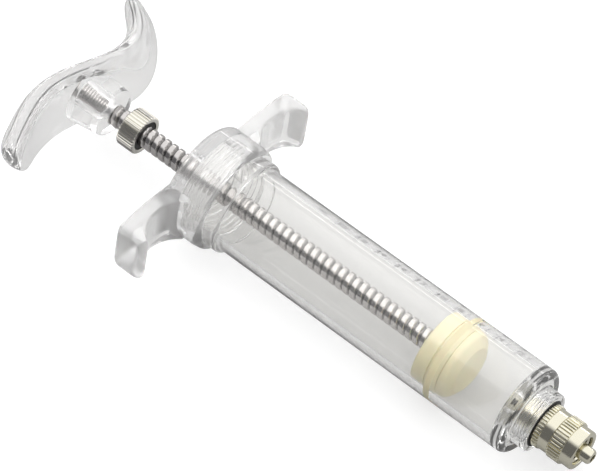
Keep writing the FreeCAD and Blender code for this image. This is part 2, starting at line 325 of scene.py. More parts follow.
def soften(mesh: Mesh, sharp: float) -> None:
    """Shade smooth, with edges over the sharp angle in degrees kept sharp."""
    mesh.polygons.foreach_set("use_smooth", [True] * len(mesh.polygons))
    mesh.set_sharp_from_angle(angle=math.radians(sharp))
    mesh.update()


def combined(name: str, base: Object, join: Sequence[Object] = (),
             cut: Sequence[Object] = (), sharp: float = 32.0) -> Object:
    """Fuse solids to a base and cut others out of it, as one closed mesh at the origin.

    Args:
        name: the finished piece's name.
        base: the solid to start from.
        join: solids to add.
        cut: solids to take away.
        sharp: edges over this angle in degrees stay sharp.

    Returns:
        The finished object; the solids it was made of are gone.
    """
    for operation, tools in (("UNION", join), ("DIFFERENCE", cut)):
        for tool in tools:
            step = base.modifiers.new("step", "BOOLEAN")
            step.operation, step.solver, step.object = operation, "EXACT", tool
            graph = bpy.context.evaluated_depsgraph_get()
            graph.update()
            mesh = bpy.data.meshes.new_from_object(base.evaluated_get(graph))
            base.modifiers.clear()
            old, base.data = base.data, mesh
            bpy.data.meshes.remove(old)
            bpy.data.objects.remove(tool)
    base.name = base.data.name = name
    soften(base.data, sharp)
    return base


# Finishes


def nodes_of(name: str) -> tuple[Material, NodeTree, Node, Node]:
    """Make a material and return it with its tree, its Principled node and its output node."""
    material = bpy.data.materials.new(name)
    material.use_nodes = True
    tree = material.node_tree
    return material, tree, tree.nodes["Principled BSDF"], tree.nodes["Material Output"]


def wire(tree: NodeTree, *links: tuple[NodeSocket, NodeSocket]) -> None:
    """Link each output to its input."""
    for start, end in links:
        tree.links.new(start, end)


def add_relief(tree: NodeTree, shader: Node, scale: float, height: float) -> None:
    """Give a shader a fine uneven surface: noise on object coordinates drives a bump.

    Args:
        tree: the material's tree.
        shader: the node whose Normal takes the bump.
        scale: noise scale a metre.
        height: bump distance in metres.
    """
    place = tree.nodes.new("ShaderNodeTexCoord")
    noise = tree.nodes.new("ShaderNodeTexNoise")
    relief = tree.nodes.new("ShaderNodeBump")
    noise.inputs["Scale"].default_value = scale
    noise.inputs["Detail"].default_value = 2.0
    relief.inputs["Distance"].default_value = height
    wire(tree, (place.outputs["Object"], noise.inputs["Vector"]),
         (noise.outputs["Fac"], relief.inputs["Height"]),
         (relief.outputs["Normal"], shader.inputs["Normal"]))


def math_node(tree: NodeTree, operation: str, *values: float) -> Node:
    """Add a Math node whose inputs after the first hold the values."""
    node = tree.nodes.new("ShaderNodeMath")
    node.operation = operation
    for socket, value in zip(node.inputs[1:], values):
        socket.default_value = value
    return node


def smooth_range(tree: NodeTree, *limits: float) -> Node:
    """Add a smooth Map Range node with its limits: from low, from high, to low, to high."""
    node = tree.nodes.new("ShaderNodeMapRange")
    node.interpolation_type = "SMOOTHSTEP"
    for socket, value in zip(node.inputs[1:5], limits):
        socket.default_value = value
    return node


@dataclass(frozen=True)
class ClearPlastic:
    """Moulded clear plastic, faintly hazy, that lets light through to the floor.

    Attributes:
        name: material name.
        tint: colour that each surface passes.
        roughness: blur of what is seen through it.
        haze: share of light that its surface scatters instead of passing.
        index: refractive index.
        relief: height in metres of the moulding's unevenness.
        frost: haze of the finger wings; 0 leaves the whole piece even.
        frost_start: distance from the axis, in metres, where the frost begins and is whole.
        frost_blur: blur that the frost adds, as a share of the haze that it adds.
        veil: colour of the scattered light.
        veil_roughness: blur of that light's sheen.
        shade: share of light that passes each surface to the floor.
        grain: noise scale a metre of the unevenness.
    """

    name: str
    tint: Colour = (0.935, 0.932, 0.92, 1.0)
    roughness: float = 0.03
    haze: float = 0.04
    index: float = 1.49
    relief: float = 0.000004
    frost: float = 0.0
    frost_start: tuple[float, float] = (0.0135, 0.018)
    frost_blur: float = 1.1
    veil: Colour = (0.9, 0.895, 0.89, 1.0)
    veil_roughness: float = 0.35
    shade: Colour = (0.93, 0.93, 0.93, 1.0)
    grain: float = 260.0

    def add_frost(self, tree: NodeTree, fac: NodeSocket, rough: NodeSocket) -> None:
        """Drive haze and blur by the distance from the axis along the wings, on object coordinates.

        Args:
            tree: the material's tree.
            fac: socket that takes the share of scattered light.
            rough: socket that takes the blur.
        """
        span = LYING.turn() @ np.array((0.0, 1.0, 0.0))
        place = tree.nodes.new("ShaderNodeTexCoord")
        along = tree.nodes.new("ShaderNodeVectorMath")
        along.operation = "DOT_PRODUCT"
        along.inputs[1].default_value = span.tolist()
        middle = float(span @ LYING.place(np.zeros((1, 3)))[0])
        offset = math_node(tree, "SUBTRACT", middle)
        away = math_node(tree, "ABSOLUTE")
        spread = smooth_range(tree, *self.frost_start, self.haze, self.frost)
        blur = math_node(tree, "MULTIPLY_ADD", self.frost_blur,
                         self.roughness - self.frost_blur * self.haze)
        wire(tree, (place.outputs["Object"], along.inputs[0]),
             (along.outputs["Value"], offset.inputs[0]), (offset.outputs[0], away.inputs[0]),
             (away.outputs[0], spread.inputs[0]), (spread.outputs[0], fac),
             (spread.outputs[0], blur.inputs[0]), (blur.outputs[0], rough))

    def build(self) -> Material:
        """Return the material: refraction and haze, and plain transparency for shadow rays."""
        material, tree, shader, output = nodes_of(self.name)
        shader.inputs["Base Color"].default_value = self.tint
        shader.inputs["Roughness"].default_value = self.roughness
        shader.inputs["IOR"].default_value = self.index
        shader.inputs["Transmission Weight"].default_value = 1.0
        add_relief(tree, shader, self.grain, self.relief)
        veil = tree.nodes.new("ShaderNodeBsdfPrincipled")
        veil.inputs["Base Color"].default_value = self.veil
        veil.inputs["Roughness"].default_value = self.veil_roughness
        hazy = tree.nodes.new("ShaderNodeMixShader")
        hazy.inputs["Fac"].default_value = self.haze
        if self.frost:
            self.add_frost(tree, hazy.inputs["Fac"], shader.inputs["Roughness"])
        rays = tree.nodes.new("ShaderNodeLightPath")
        clear = tree.nodes.new("ShaderNodeBsdfTransparent")
        clear.inputs["Color"].default_value = self.shade
        mix = tree.nodes.new("ShaderNodeMixShader")
        wire(tree, (shader.outputs["BSDF"], hazy.inputs[1]), (veil.outputs["BSDF"], hazy.inputs[2]),
             (rays.outputs["Is Shadow Ray"], mix.inputs["Fac"]),
             (hazy.outputs["Shader"], mix.inputs[1]), (clear.outputs["BSDF"], mix.inputs[2]),
             (mix.outputs["Shader"], output.inputs["Surface"]))
        return material


@dataclass(frozen=True)
class Plating:
    """Bright nickel plating on turned brass.

    Attributes:
        name: material name.
        colour: reflected colour.
        roughness: blur of its reflections.
        relief: height in metres of the turning marks.
        grain: noise scale a metre of the turning marks.
        grime: share of the colour taken off by painted shade in the thread's roots, by the attribute
            "depth".
        grime_depth: depth under the crest, in mm, where the painted shade begins and is whole.
    """

    name: str
    colour: Colour = (0.76, 0.73, 0.60, 1.0)
    roughness: float = 0.17
    relief: float = 0.000004
    grain: float = 900.0
    grime: float = 0.0
    grime_depth: tuple[float, float] = (0.15, 0.6)

    def add_grime(self, tree: NodeTree, colour: NodeSocket) -> None:
        """Paint shade into the thread's roots: darken the colour there by the depth."""
        depth = tree.nodes.new("ShaderNodeAttribute")
        depth.attribute_name = "depth"
        # Painted shade: the colour is scaled down with depth into the thread's roots.
        spread = smooth_range(tree, *self.grime_depth, 1.0, 1.0 - self.grime)
        shade = tree.nodes.new("ShaderNodeVectorMath")
        shade.operation = "SCALE"
        shade.inputs[0].default_value = self.colour[:3]
        wire(tree, (depth.outputs["Fac"], spread.inputs[0]),
             (spread.outputs[0], shade.inputs["Scale"]), (shade.outputs[0], colour))

    def build(self) -> Material:
        """Return the material."""
        material, tree, shader, _ = nodes_of(self.name)
        shader.inputs["Base Color"].default_value = self.colour
        shader.inputs["Metallic"].default_value = 1.0
        shader.inputs["Roughness"].default_value = self.roughness
        if self.grime:
            self.add_grime(tree, shader.inputs["Base Color"])
        add_relief(tree, shader, self.grain, self.relief)
        return material


@dataclass(frozen=True)
class Moulded:
    """Opaque moulded rubber or plastic.

    Attributes:
        name: material name.
        colour: surface colour.
        roughness: blur of its sheen.
        glow: share of light that passes under the surface.
        glow_scale: how far that light goes, in metres.
        relief: height in metres of the surface's unevenness.
        grain: noise scale a metre of the unevenness.
    """

    name: str
    colour: Colour
    roughness: float
    glow: float = 0.0
    glow_scale: float = 0.0015
    relief: float = 0.000006
    grain: float = 1500.0

    def build(self) -> Material:
        """Return the material."""
        material, tree, shader, _ = nodes_of(self.name)
        shader.inputs["Base Color"].default_value = self.colour
        shader.inputs["Roughness"].default_value = self.roughness
        shader.inputs["Subsurface Weight"].default_value = self.glow
        shader.inputs["Subsurface Scale"].default_value = self.glow_scale
        add_relief(tree, shader, self.grain, self.relief)
        return material


def made(finish: ClearPlastic | Plating | Moulded) -> Material:
    """Dataclass field that holds the finish's material, built with the rest."""
    return field(default_factory=finish.build)


@dataclass
class Finishes:
    """All the materials of the syringe, made once."""

    barrel: Material = made(ClearPlastic("clear barrel"))
    cap: Material = made(ClearPlastic(
        "clear cap", (0.975, 0.972, 0.967, 1.0), 0.03, 0.1, relief=0.000001, frost=0.24))
    handle: Material = made(ClearPlastic("clear handle", (0.94, 0.937, 0.93, 1.0), 0.02, 0.09))
    nickel: Material = made(Plating("nickel"))
    dose_nickel: Material = made(Plating("nickel dose nut", (0.82, 0.80, 0.74, 1.0)))
    # The rod's colour is darkened by painted shade in the thread's roots.
    rod: Material = made(Plating("nickel rod", (0.60, 0.578, 0.565, 1.0), 0.17, grime=0.55))
    ink: Material = made(Moulded("scale ink", (0.22, 0.21, 0.22, 1.0), 0.5))
    rubber: Material = made(Moulded("black rubber", (0.012, 0.012, 0.013, 1.0), 0.5))
    cream: Material = made(Moulded("cream plastic", (0.90, 0.83, 0.56, 1.0), 0.45, 0.15))
    silicone: Material = made(Moulded("cream silicone", (0.88, 0.80, 0.53, 1.0), 0.4, 0.2))


def dress(piece: Object, material: Material, body: Body, slot: Slot, *stands_for: str) -> Object:
    """Give a piece its material and its body, and hide the CAD nodes that it stands for."""
    piece.data.materials.clear()
    piece.data.materials.append(material)
    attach(piece, body.value)
    if stands_for:
        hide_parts(*stands_for)
    LOG.info("%s: %d faces", piece.name, len(piece.data.polygons))
    return piece


# Sub-assemblies


@dataclass
class Barrel:
    """Clear tube with a closed front, a threaded neck, a rear thread and a collar. Sizes in mm.

    Attributes:
        outer: outside radius of the tube.
        bore: radius of the bore.
        bore_end: front end of the bore.
        rear: rear end of the tube.
        flange: radius of the collar.
        flange_front: front end of the collar.
        neck: outside radius of the neck.
        neck_end: front end of the neck.
        seat: radius of the gasket's seat.
        seat_rear: rear end of that seat.
        outlet: radius of the hole from the bore into the neck.
        rear_thread: outside thread under the cap.
        neck_thread: inside thread that holds the nozzle.
    """

    outer: float = 12.0
    bore: float = 10.0
    bore_end: float = -3.9
    rear: float = -103.4
    flange: float = 13.15
    flange_front: float = -91.0
    neck: float = 8.2
    neck_end: float = 4.0
    seat: float = 6.7
    seat_rear: float = 3.1
    outlet: float = 2.2
    rear_thread: Thread = Thread(-103.4, -95.4, 12.8, 13.1, 1.35, 0.25, 0.25, 0.4)
    neck_thread: Thread = Thread(-2.6, 3.1, 4.5, 4.85, 0.8, 0.2, 0.35, 0.3)
    segments: int = 160

    def ripple(self, x: Array, r: Array, angle: Array) -> Array:
        """Return the radius with both threads cut in."""
        return self.neck_thread.radius(x, self.rear_thread.radius(x, r, angle), angle)

    def build(self, finish: Material) -> Object:
        """Return the finished tube."""
        thread, neck = self.rear_thread, self.neck_thread
        line = rounded([
            (self.rear, self.bore), (self.rear, thread.root), (thread.x1, thread.root),
            (thread.x1, self.flange, 0.3), (self.flange_front, self.flange, 0.9),
            (self.flange_front, self.outer, 0.15), (0, self.outer, 2.0), (0, self.neck, 0.5),
            (self.neck_end, self.neck, 0.5), (self.neck_end, self.seat, 0.1),
            (self.seat_rear, self.seat, 0.1), (self.seat_rear, neck.root), (neck.x0, neck.root),
            (neck.x0, self.outlet), (self.bore_end, self.outlet), (self.bore_end, self.bore, 0.4),
            (self.rear, self.bore)], 8)[:-1]
        line = divided(line, 0.09, thread.x0, thread.x1)
        line = divided(line, 0.08, neck.x0, neck.x1)
        tube = make_piece("barrel", *turned(line, self.segments, self.ripple))
        return dress(tube, finish, Body.BARREL, Slot.CLEAR, "barrel_tube")


@dataclass
class Scale:
    """Printed scale wrapped on the barrel: a tick each ml and a number at every second one.

    Attributes:
        zero: place of the 0 ml line, the end of the bore.
        step: travel of the piston for 1 ml.
        most: full scale in ml.
        radius: outside of the barrel.
        centre: angle in degrees, from +Y towards +Z, of the middle of the numbers.
        ticks: angle where the ticks start.
        height: height of the numbers.
        lift: gap under the ink, and its own thickness.
        long_tick: length of a tick with a number.
        short_tick: length of a tick without one.
        half_tick: half the width of a tick.
    """

    zero: float = -3.9
    step: float = 3.183
    most: int = 20
    radius: float = 12.0
    centre: float = 47.0
    ticks: float = 60.0
    height: float = 3.0
    lift: float = 0.02
    long_tick: float = 3.4
    short_tick: float = 2.2
    half_tick: float = 0.09

    def wrap(self, flat: Array) -> Array:
        """Wrap points (x, y, height): y runs round the barrel and height stands off its surface."""
        angle = flat[:, 1] / self.radius
        r = self.radius + self.lift + flat[:, 2]
        return np.stack([flat[:, 0], r * np.cos(angle), r * np.sin(angle)], 1)

    def label(self, text: str, x: float) -> Surface:
        """Outline of a number standing at x, as a thin closed slab, wrapped on the barrel."""
        curve = bpy.data.curves.new("label", "FONT")
        curve.body, curve.size, curve.extrude = text, self.height, self.lift / 2
        curve.align_x, curve.align_y, curve.resolution_u = "CENTER", "CENTER", 3
        holder = new_object("label", curve)
        graph = bpy.context.evaluated_depsgraph_get()
        mesh = bpy.data.meshes.new_from_object(holder.evaluated_get(graph))
        flat = np.array([tuple(v.co) for v in mesh.vertices])
        faces = [list(p.vertices) for p in mesh.polygons]
        bpy.data.objects.remove(holder)
        bpy.data.meshes.remove(mesh)
        flat[:, 0] += x
        flat[:, 1] += math.radians(self.centre) * self.radius
        flat[:, 2] += self.lift / 2
        return self.wrap(flat), faces

    def tick(self, x: float, length: float) -> Surface:
        """Thin line round the barrel at x, from the ticks' angle on."""
        along = np.linspace(0, length, 7) + math.radians(self.ticks) * self.radius
        half = self.half_tick
        corners = np.array([(-half, 0), (half, 0), (half, self.lift), (-half, self.lift)])
        flat = np.array([(x + dx, y, h) for y in along for dx, h in corners])
        return shell(self.wrap(flat).reshape(len(along), 4, 3), False)

    def build(self, finish: Material) -> Object:
        """Return the whole print as one piece."""
        points, faces, count = [], [], 0
        parts = [self.tick(self.zero - ml * self.step, self.short_tick if ml % 2 else self.long_tick)
                 for ml in range(1, self.most + 1)]
        parts += [self.label(str(ml), self.zero - ml * self.step)
                  for ml in range(2, self.most + 1, 2)]
        parts.append(self.label("ml", self.zero - (self.most + 2.0) * self.step))
        for some, polygons in parts:
            points.append(some)
            faces += [[i + count for i in polygon] for polygon in polygons]
            count += len(some)
        ink = make_piece("barrel_scale", np.concatenate(points), faces)
        return dress(ink, finish, Body.BARREL, Slot.CLEAR)


@dataclass
class WingedCap:
    """Clear screw cap with two scooped finger wings. Sizes in mm.

    Attributes:
        rear: rear face of cap and wings.
        front: front rim of the cap.
        radius: outside radius of the cap.
        bore: radius of the bore over the barrel.
        floor_x: where the bore ends.
        hole: radius of the hole for the rod.
        thread: inside thread of the cap.
        span: half the distance between the wing tips.
        half_depth: half the wings' width, square to the bore.
        tip: length of a wing along the bore at its tip.
        waist: least length, in the middle of the scoop.
        waist_y: distance of that middle from the axis.
        scoop: radius of the scoop.
        flank: angle in degrees round the scoop where the straight flank into the body starts.
        tip_round: rounding of the wing ends.
        powers: superellipse power of the sections over the waist, and at the tips.
        power_y: distance from the axis where it starts and ends changing.
    """

    rear: float = -107.3
    front: float = -94.8
    radius: float = 15.1
    bore: float = 13.14
    floor_x: float = -103.4
    hole: float = 2.9
    thread: Thread = Thread(-104.4, -95.4, 13.14, 13.6, 1.35, 0.25, 0.25, 0.4)
    span: float = 32.7
    half_depth: float = 7.45
    tip: float = 9.2
    waist: float = 4.2
    waist_y: float = 22.0
    scoop: float = 10.1
    flank: float = 52.0
    tip_round: float = 1.8
    powers: tuple[float, float] = (9.0, 6.0)
    power_y: tuple[float, float] = (21.0, 29.0)
    segments: int = 160

    def front_face(self, y: Array) -> Array:
        """Distance from the rear face to the front face at y: a round scoop between tip and body.

        The scoop is the circle of the scoop's radius whose top stands at the waist; towards the tip it
        stops at the tip's length, and towards the axis at a straight flank into the round body.
        """
        away = np.abs(y)
        inside = np.clip(self.scoop ** 2 - (away - self.waist_y) ** 2, 0, None)
        arc = self.waist + self.scoop - np.sqrt(inside)
        flank = self.waist + self.scoop * (1 - math.cos(math.radians(self.flank))) + 0 * away
        body_side = np.minimum(arc, flank)
        return np.where(away > self.waist_y, np.minimum(arc, self.tip), body_side)

    def wing_rings(self) -> Array:
        """Sections of the wings square to Y: superellipses from rear face to front face.

        Their power falls towards the tips, so that the corners grow rounder, and each section shrinks
        by the inset of a quarter circle over the last tip_round of the span.
        """
        cosine = np.cos(np.linspace(0, math.pi, 97))
        y = np.sign(cosine) * np.abs(cosine) ** 0.8 * self.span
        edge = np.clip((self.span - np.abs(y)) / self.tip_round, 0, 1)
        inset = self.tip_round * (1 - np.sqrt(1 - (1 - edge) ** 2))
        front = self.front_face(y) - inset
        angle = np.linspace(0, TAU, 64, endpoint=False) + TAU / 128
        power = 2 / np.interp(np.abs(y), self.power_y, self.powers)[:, None]
        u = np.sign(np.cos(angle)) * np.abs(np.cos(angle)) ** power
        v = np.sign(np.sin(angle)) * np.abs(np.sin(angle)) ** power
        x = self.rear + (front + inset)[:, None] / 2 + (front - inset)[:, None] / 2 * u
        z = (self.half_depth - inset)[:, None] * v
        return np.stack([x, y[:, None] + 0 * x, z], -1)

    def build(self, finish: Material) -> Object:
        """Return the finished cap."""
        wings = make_piece("wings", *shell(self.wing_rings(), False))
        body_line = rounded([
            (self.rear, AXIS), (self.rear, self.radius, 1.8),
            (self.front - 3, self.radius - 0.05, 4.0), (self.front, self.radius - 0.5, 1.4),
            (self.front, AXIS)], 8)
        body = make_piece("cap body", *turned(body_line, self.segments, None, False))
        bore_line = rounded([(self.floor_x, AXIS), (self.floor_x, self.bore, 0.2),
                             (self.front + 2, self.bore), (self.front + 2, AXIS)])
        bore_line = divided(bore_line, 0.11, self.thread.x0, self.thread.x1)
        bore = make_piece("bore", *turned(bore_line, self.segments, self.thread.radius, False))
        hole_line = rounded([(self.rear - 1, AXIS), (self.rear - 1, self.hole),
                             (self.front, self.hole), (self.front, AXIS)])
        hole = make_piece("hole", *turned(hole_line, 64, None, False))
        cap = combined("winged_cap", body, [wings], [bore, hole])
        return dress(cap, finish, Body.BARREL, Slot.CLEAR, "finger_grip_cap")


@dataclass
class Nozzle:
    """Metal nozzle with its gasket and its free-turning Luer lock nut. Sizes in mm.

    Attributes:
        spigot: thread inside the neck.
        collar: knurl of the fixed collar.
        nut: knurl of the lock nut.
        knurl_floor: radius over which a profile takes a knurl.
    """

    spigot: Thread = Thread(-2.6, 2.6, 4.15, 4.45, 0.8, 0.2, 0.35, 0.3)
    collar: Knurl = Knurl(6.0, 0.5, 40)
    nut: Knurl = Knurl(6.0, 0.5, 40)
    knurl_floor: float = 5.2

    def build_adapter(self, finish: Material) -> Object:
        """Return the nozzle: spigot, knurled collar, band, stem, retaining ring and Luer cone."""
        thread = self.spigot
        line = rounded([
            (thread.x0, 1.0), (thread.x0, thread.root), (thread.x1, thread.root),
            (thread.x1, thread.crest), (4.1, thread.crest), (4.1, 6.0, 0.35), (6.1, 6.0, 0.35),
            (6.1, 5.65, 0.05), (8.9, 5.65, 0.3), (8.9, 3.1), (11.2, 3.1), (11.2, 3.55, 0.1),
            (11.9, 3.55, 0.2), (11.9, 2.21, 0.1), (18.9, 2.0, 0.9), (18.9, 1.02, 0.1), (18.2, 1.0),
            (thread.x0, 1.0)])[:-1]
        line = divided(line, 0.08, thread.x0, thread.x1)
        line = divided(line, 0.5, 4.0, 6.2)

        def ripple(x: Array, r: Array, angle: Array) -> Array:
            """Cut the thread at the rear and the knurl round the collar."""
            cut = thread.radius(x, r, angle)
            knurled = (x > 4.0) & (x < 6.05) & (r > self.knurl_floor)
            return np.where(knurled, self.collar.radius(x, cut, angle), cut)

        segments = self.collar.teeth * POINTS_A_TOOTH
        nozzle = make_piece("nozzle", *turned(line, segments, ripple))
        return dress(nozzle, finish, Body.BARREL, Slot.NICKEL, "nozzle_adapter")

    def build_gasket(self, finish: Material) -> Object:
        """Return the black ring between the neck and the collar."""
        line = rounded([(3.12, 4.5), (3.12, 6.68, 0.2), (4.08, 6.68, 0.4), (4.08, 4.5),
                        (3.12, 4.5)])[:-1]
        ring = make_piece("neck_gasket", *turned(line, 96))
        return dress(ring, finish, Body.BARREL, Slot.RUBBER, "nozzle_gasket")

    def build_nut(self, finish: Material) -> Object:
        """Return the lock nut: knurled rear, smooth front and a hollow with a lip."""
        line = rounded([
            (8.95, 3.15), (8.95, 6.0, 0.35), (12.75, 6.0, 0.35), (12.75, 5.45, 0.1),
            (15.9, 5.45, 0.45), (15.9, 4.05, 0.25), (14.9, 4.0), (14.5, 3.6, 0.1), (14.1, 3.6, 0.1),
            (13.7, 4.0), (11.15, 4.0, 0.2), (11.15, 3.15), (8.95, 3.15)])[:-1]
        line = divided(line, 0.5, 8.9, 12.8)

        def ripple(x: Array, r: Array, angle: Array) -> Array:
            """Cut the knurl round the rear of the nut."""
            knurled = (x < 12.7) & (r > self.knurl_floor)
            return np.where(knurled, self.nut.radius(x, r, angle), r + 0 * angle)

        nut = make_piece("lock_nut", *turned(line, self.nut.teeth * POINTS_A_TOOTH, ripple))
        return dress(nut, finish, Body.LOCK_NUT, Slot.NICKEL, "luer_lock_nut")


@dataclass
class Plunger:
    """Threaded rod with two long flats, and the piston at its front end. Sizes in mm.

    Attributes:
        coarse: thread that the dose nut runs on.
        fine: thread inside the handle's boss.
        flat: distance of the two flats from the axis.
        front: front end of the rod, inside the piston.
    """

    coarse: Thread = Thread(-136.2, -29.6, 2.28, 2.85, 2.25, 0.46, 0.24, 0.8)
    fine: Thread = Thread(-145.6, -137.6, 2.0, 2.45, 0.8, 0.25, 0.25, 0.3)
    flat: float = 2.62
    front: float = -22.4

    def rod_radius(self, x: Array, r: Array, angle: Array) -> Array:
        """Radius of the rod: both threads, then two flats square to Y that cap r cos(angle)."""
        cut = self.fine.radius(x, self.coarse.radius(x, r, angle), angle)
        flat = self.flat / np.maximum(np.abs(np.cos(angle)), 1e-6)
        threaded = (x > self.coarse.x0 - 0.01) & (x < self.coarse.x1 + 0.01)
        return np.where(threaded, np.minimum(cut, flat), cut)

    def build_rod(self, finish: Material) -> Object:
        """Return the rod."""
        coarse, fine = self.coarse, self.fine
        line = np.array([
            (fine.x0, AXIS), (fine.x0, fine.root), (fine.x1, fine.root), (coarse.x0, coarse.root),
            (coarse.x1, coarse.root), (self.front, coarse.root), (self.front, AXIS)])
        line = divided(line, 0.1, fine.x0, fine.x1)
        line = divided(line, 0.19, coarse.x0, coarse.x1)
        points, faces = turned(line, 72, self.rod_radius, False)
        rod = make_piece("threaded_rod", points, faces, 40.0)
        # The depth under the crest drives the rod's painted shade in the thread's roots.
        depth = rod.data.attributes.new("depth", "FLOAT", "POINT")
        crest = np.where(points[:, 0] < fine.x1 + 0.01, fine.crest, coarse.crest)
        depth.data.foreach_set("value", crest - np.hypot(points[:, 1], points[:, 2]))
        return dress(rod, finish, Body.PLUNGER, Slot.NICKEL, "plunger_rod")

    def build_piston(self, cream: Material, silicone: Material) -> None:
        """Make the piston's body and its seal ring."""
        line = rounded([
            (-29.9, 2.3), (-29.9, 9.75, 0.5), (-25.9, 9.75, 0.2), (-25.9, 8.4), (-22.4, 8.4),
            (-22.4, 9.6, 0.5), (-20.6, 9.3, 1.4), (-19.0, 6.5, 1.2), (-19.0, AXIS), (-29.8, AXIS)])
        body = make_piece("piston", *turned(line, 128, None, False))
        dress(body, cream, Body.PLUNGER, Slot.CREAM, "piston_body")
        line = rounded([(-25.9, 8.4), (-25.9, 9.4, 0.2), (-25.1, 10.02, 0.2), (-23.3, 10.02, 0.2),
                        (-22.4, 9.4, 0.2), (-22.4, 8.4), (-25.9, 8.4)])[:-1]
        ring = make_piece("piston_ring", *turned(line, 128))
        dress(ring, silicone, Body.PLUNGER, Slot.SILICONE, "piston_seal")


@dataclass
class DoseNut:
    """Knurled dose nut with its black gripping ring. Sizes in mm."""

    knurl: Knurl = Knurl(5.45, 0.45, 36, 0.3)

    def build(self, nickel: Material, rubber: Material) -> None:
        """Make the nut and its ring."""
        crest = self.knurl.crest
        line = rounded([(-130.4, 2.9), (-130.4, crest, 0.4), (-125.1, crest, 0.4),
                        (-125.1, 4.15, 0.15), (-129.4, 4.15), (-129.4, 2.9), (-130.4, 2.9)])[:-1]
        line = divided(line, 0.6, -130.5, -125.0)
        segments = self.knurl.teeth * POINTS_A_TOOTH
        nut = make_piece("dose_nut_body", *turned(line, segments, self.knurl.radius))
        dress(nut, nickel, Body.DOSE_NUT, Slot.NICKEL, "dose_nut")
        line = rounded([(-129.35, 2.9), (-129.35, 4.1), (-125.45, 4.1, 0.2), (-125.45, 2.9),
                        (-129.35, 2.9)])[:-1]
        ring = make_piece("dose_nut_ring", *turned(line, 96))
        dress(ring, rubber, Body.INSERT, Slot.RUBBER, "dose_insert")


def through(values: Sequence[float], s: Array) -> Array:
    """Value at s of the quartic that passes through five values, at s = -1, -0.5, 0, 0.5 and 1."""
    nodes = np.linspace(-1, 1, len(values))
    total = 0 * s
    for i, value in enumerate(values):
        others = np.delete(nodes, i)
        total = total + value * np.prod([(s - other) / (nodes[i] - other) for other in others], axis=0)
    return total


@dataclass
class PalmHandle:
    """Clear wave-shaped palm handle on its boss. Sizes in mm.

    Each tuple of five is taken at the +Y tip, halfway, on the axis, halfway and at the -Y tip.

    Attributes:
        span: half the length of the bar along Y.
        wave: place of the bar's centre line along the bore.
        rise: its place along Z.
        lean: how far the broad side leans along X, a unit of Z.
        half_width: half the width of the bar.
        half_thick: half its thickness.
        hollow: how far the long edges bow towards the fingers.
        tip_power: the higher, the later the bar shrinks towards its tips.
        tip_root: the lower, the blunter the tips.
        corner: power of cosine and sine in a section; 1 gives an ellipse.
        boss_rear: rear end of the boss, inside the bar.
        boss_front: front end of the boss.
        boss_rear_radius: radius of the boss at its rear end.
        boss_front_radius: radius at its front end.
    """

    span: float = 25.8
    wave: tuple[float, ...] = (-153.2, -142.4, -147.0, -150.1, -147.5)
    rise: tuple[float, ...] = (8.8, 2.1, 0.0, -2.5, -8.4)
    lean: tuple[float, ...] = (-0.8, 0.0, 0.0, 0.0, 0.0)
    half_width: tuple[float, ...] = (14.5, 12.1, 10.4, 11.5, 15.3)
    half_thick: float = 3.15
    hollow: float = 0.9
    tip_power: float = 19.0
    tip_root: float = 0.55
    corner: float = 2 / 2.6
    boss_rear: float = -145.0
    boss_front: float = -135.25
    boss_rear_radius: float = 7.9
    boss_front_radius: float = 6.6

    def rings(self) -> Array:
        """Sections along the arm, square to its centre line (wave(s), -span s, rise(s)).

        A section is a superellipse of half-width half_width(s) and an even thickness, both times
        (1 - |s| ^ power) ^ root; its long side leans along X by lean(s), and its two long edges bow
        forwards by the hollow.
        """
        s = np.sin(np.linspace(-1, 1, 129) * math.pi / 2) * 0.9999
        line = np.stack([through(self.wave, s), -self.span * s, through(self.rise, s)], 1)
        step = np.gradient(line, axis=0)
        step /= np.linalg.norm(step, axis=1, keepdims=True)
        width = np.stack([through(self.lean, s), 0 * s, 1 + 0 * s], 1)
        width -= step * (width * step).sum(1, keepdims=True)
        width /= np.linalg.norm(width, axis=1, keepdims=True)
        depth = np.cross(step, width)
        shrink = (1 - np.abs(s) ** self.tip_power) ** self.tip_root
        angle = np.linspace(0, TAU, 80, endpoint=False)
        u = np.sign(np.cos(angle)) * np.abs(np.cos(angle)) ** self.corner
        v = np.sign(np.sin(angle)) * np.abs(np.sin(angle)) ** self.corner
        half = (through(self.half_width, s) * shrink)[:, None, None]
        thick = shrink[:, None] * (self.half_thick * v - self.hollow * u ** 2)
        across = width[:, None] * half * u[None, :, None]
        return line[:, None] + across + depth[:, None] * thick[:, :, None]

    def build(self, finish: Material) -> Object:
        """Return the finished handle."""
        bar = make_piece("bar", *shell(self.rings(), False))
        boss = make_piece("boss", *turned(rounded([
            (self.boss_rear, AXIS), (self.boss_rear, self.boss_rear_radius),
            (self.boss_front, self.boss_front_radius, 1.2), (self.boss_front, AXIS)], 8),
            128, None, False))
        bore = make_piece("handle bore", *turned(rounded([
            (-145.6, AXIS), (-145.6, 2.47), (-137.5, 2.47), (-136.2, 2.95), (-134.0, 2.95),
            (-134.0, AXIS)]),
            96, None, False))
        handle = combined("palm_handle", bar, [boss], [bore], 50.0)
        return dress(handle, finish, Body.PLUNGER, Slot.CLEAR, "thumb_handle")


# Studio


@dataclass(frozen=True)
class Lamp:
    """Flat lamp that faces the syringe.

    Attributes:
        name: its name.
        place: where it hangs, in metres.
        size: width and height in metres.
        power: light that it gives, in watts.
        shown: whether gloss shows the lamp itself.
    """

    name: str
    place: Vec3
    size: tuple[float, float]
    power: float
    shown: bool = False

    def build(self) -> None:
        """Hang the lamp."""
        data = bpy.data.lights.new(self.name, "AREA")
        data.shape, data.size, data.size_y, data.energy = "RECTANGLE", *self.size, self.power
        lamp = new_object(self.name, data)
        lamp.location = self.place
        lamp.visible_glossy = self.shown
        lamp.rotation_mode = "QUATERNION"
        lamp.rotation_quaternion = (-Vector(self.place)).to_track_quat("-Z", "Y")


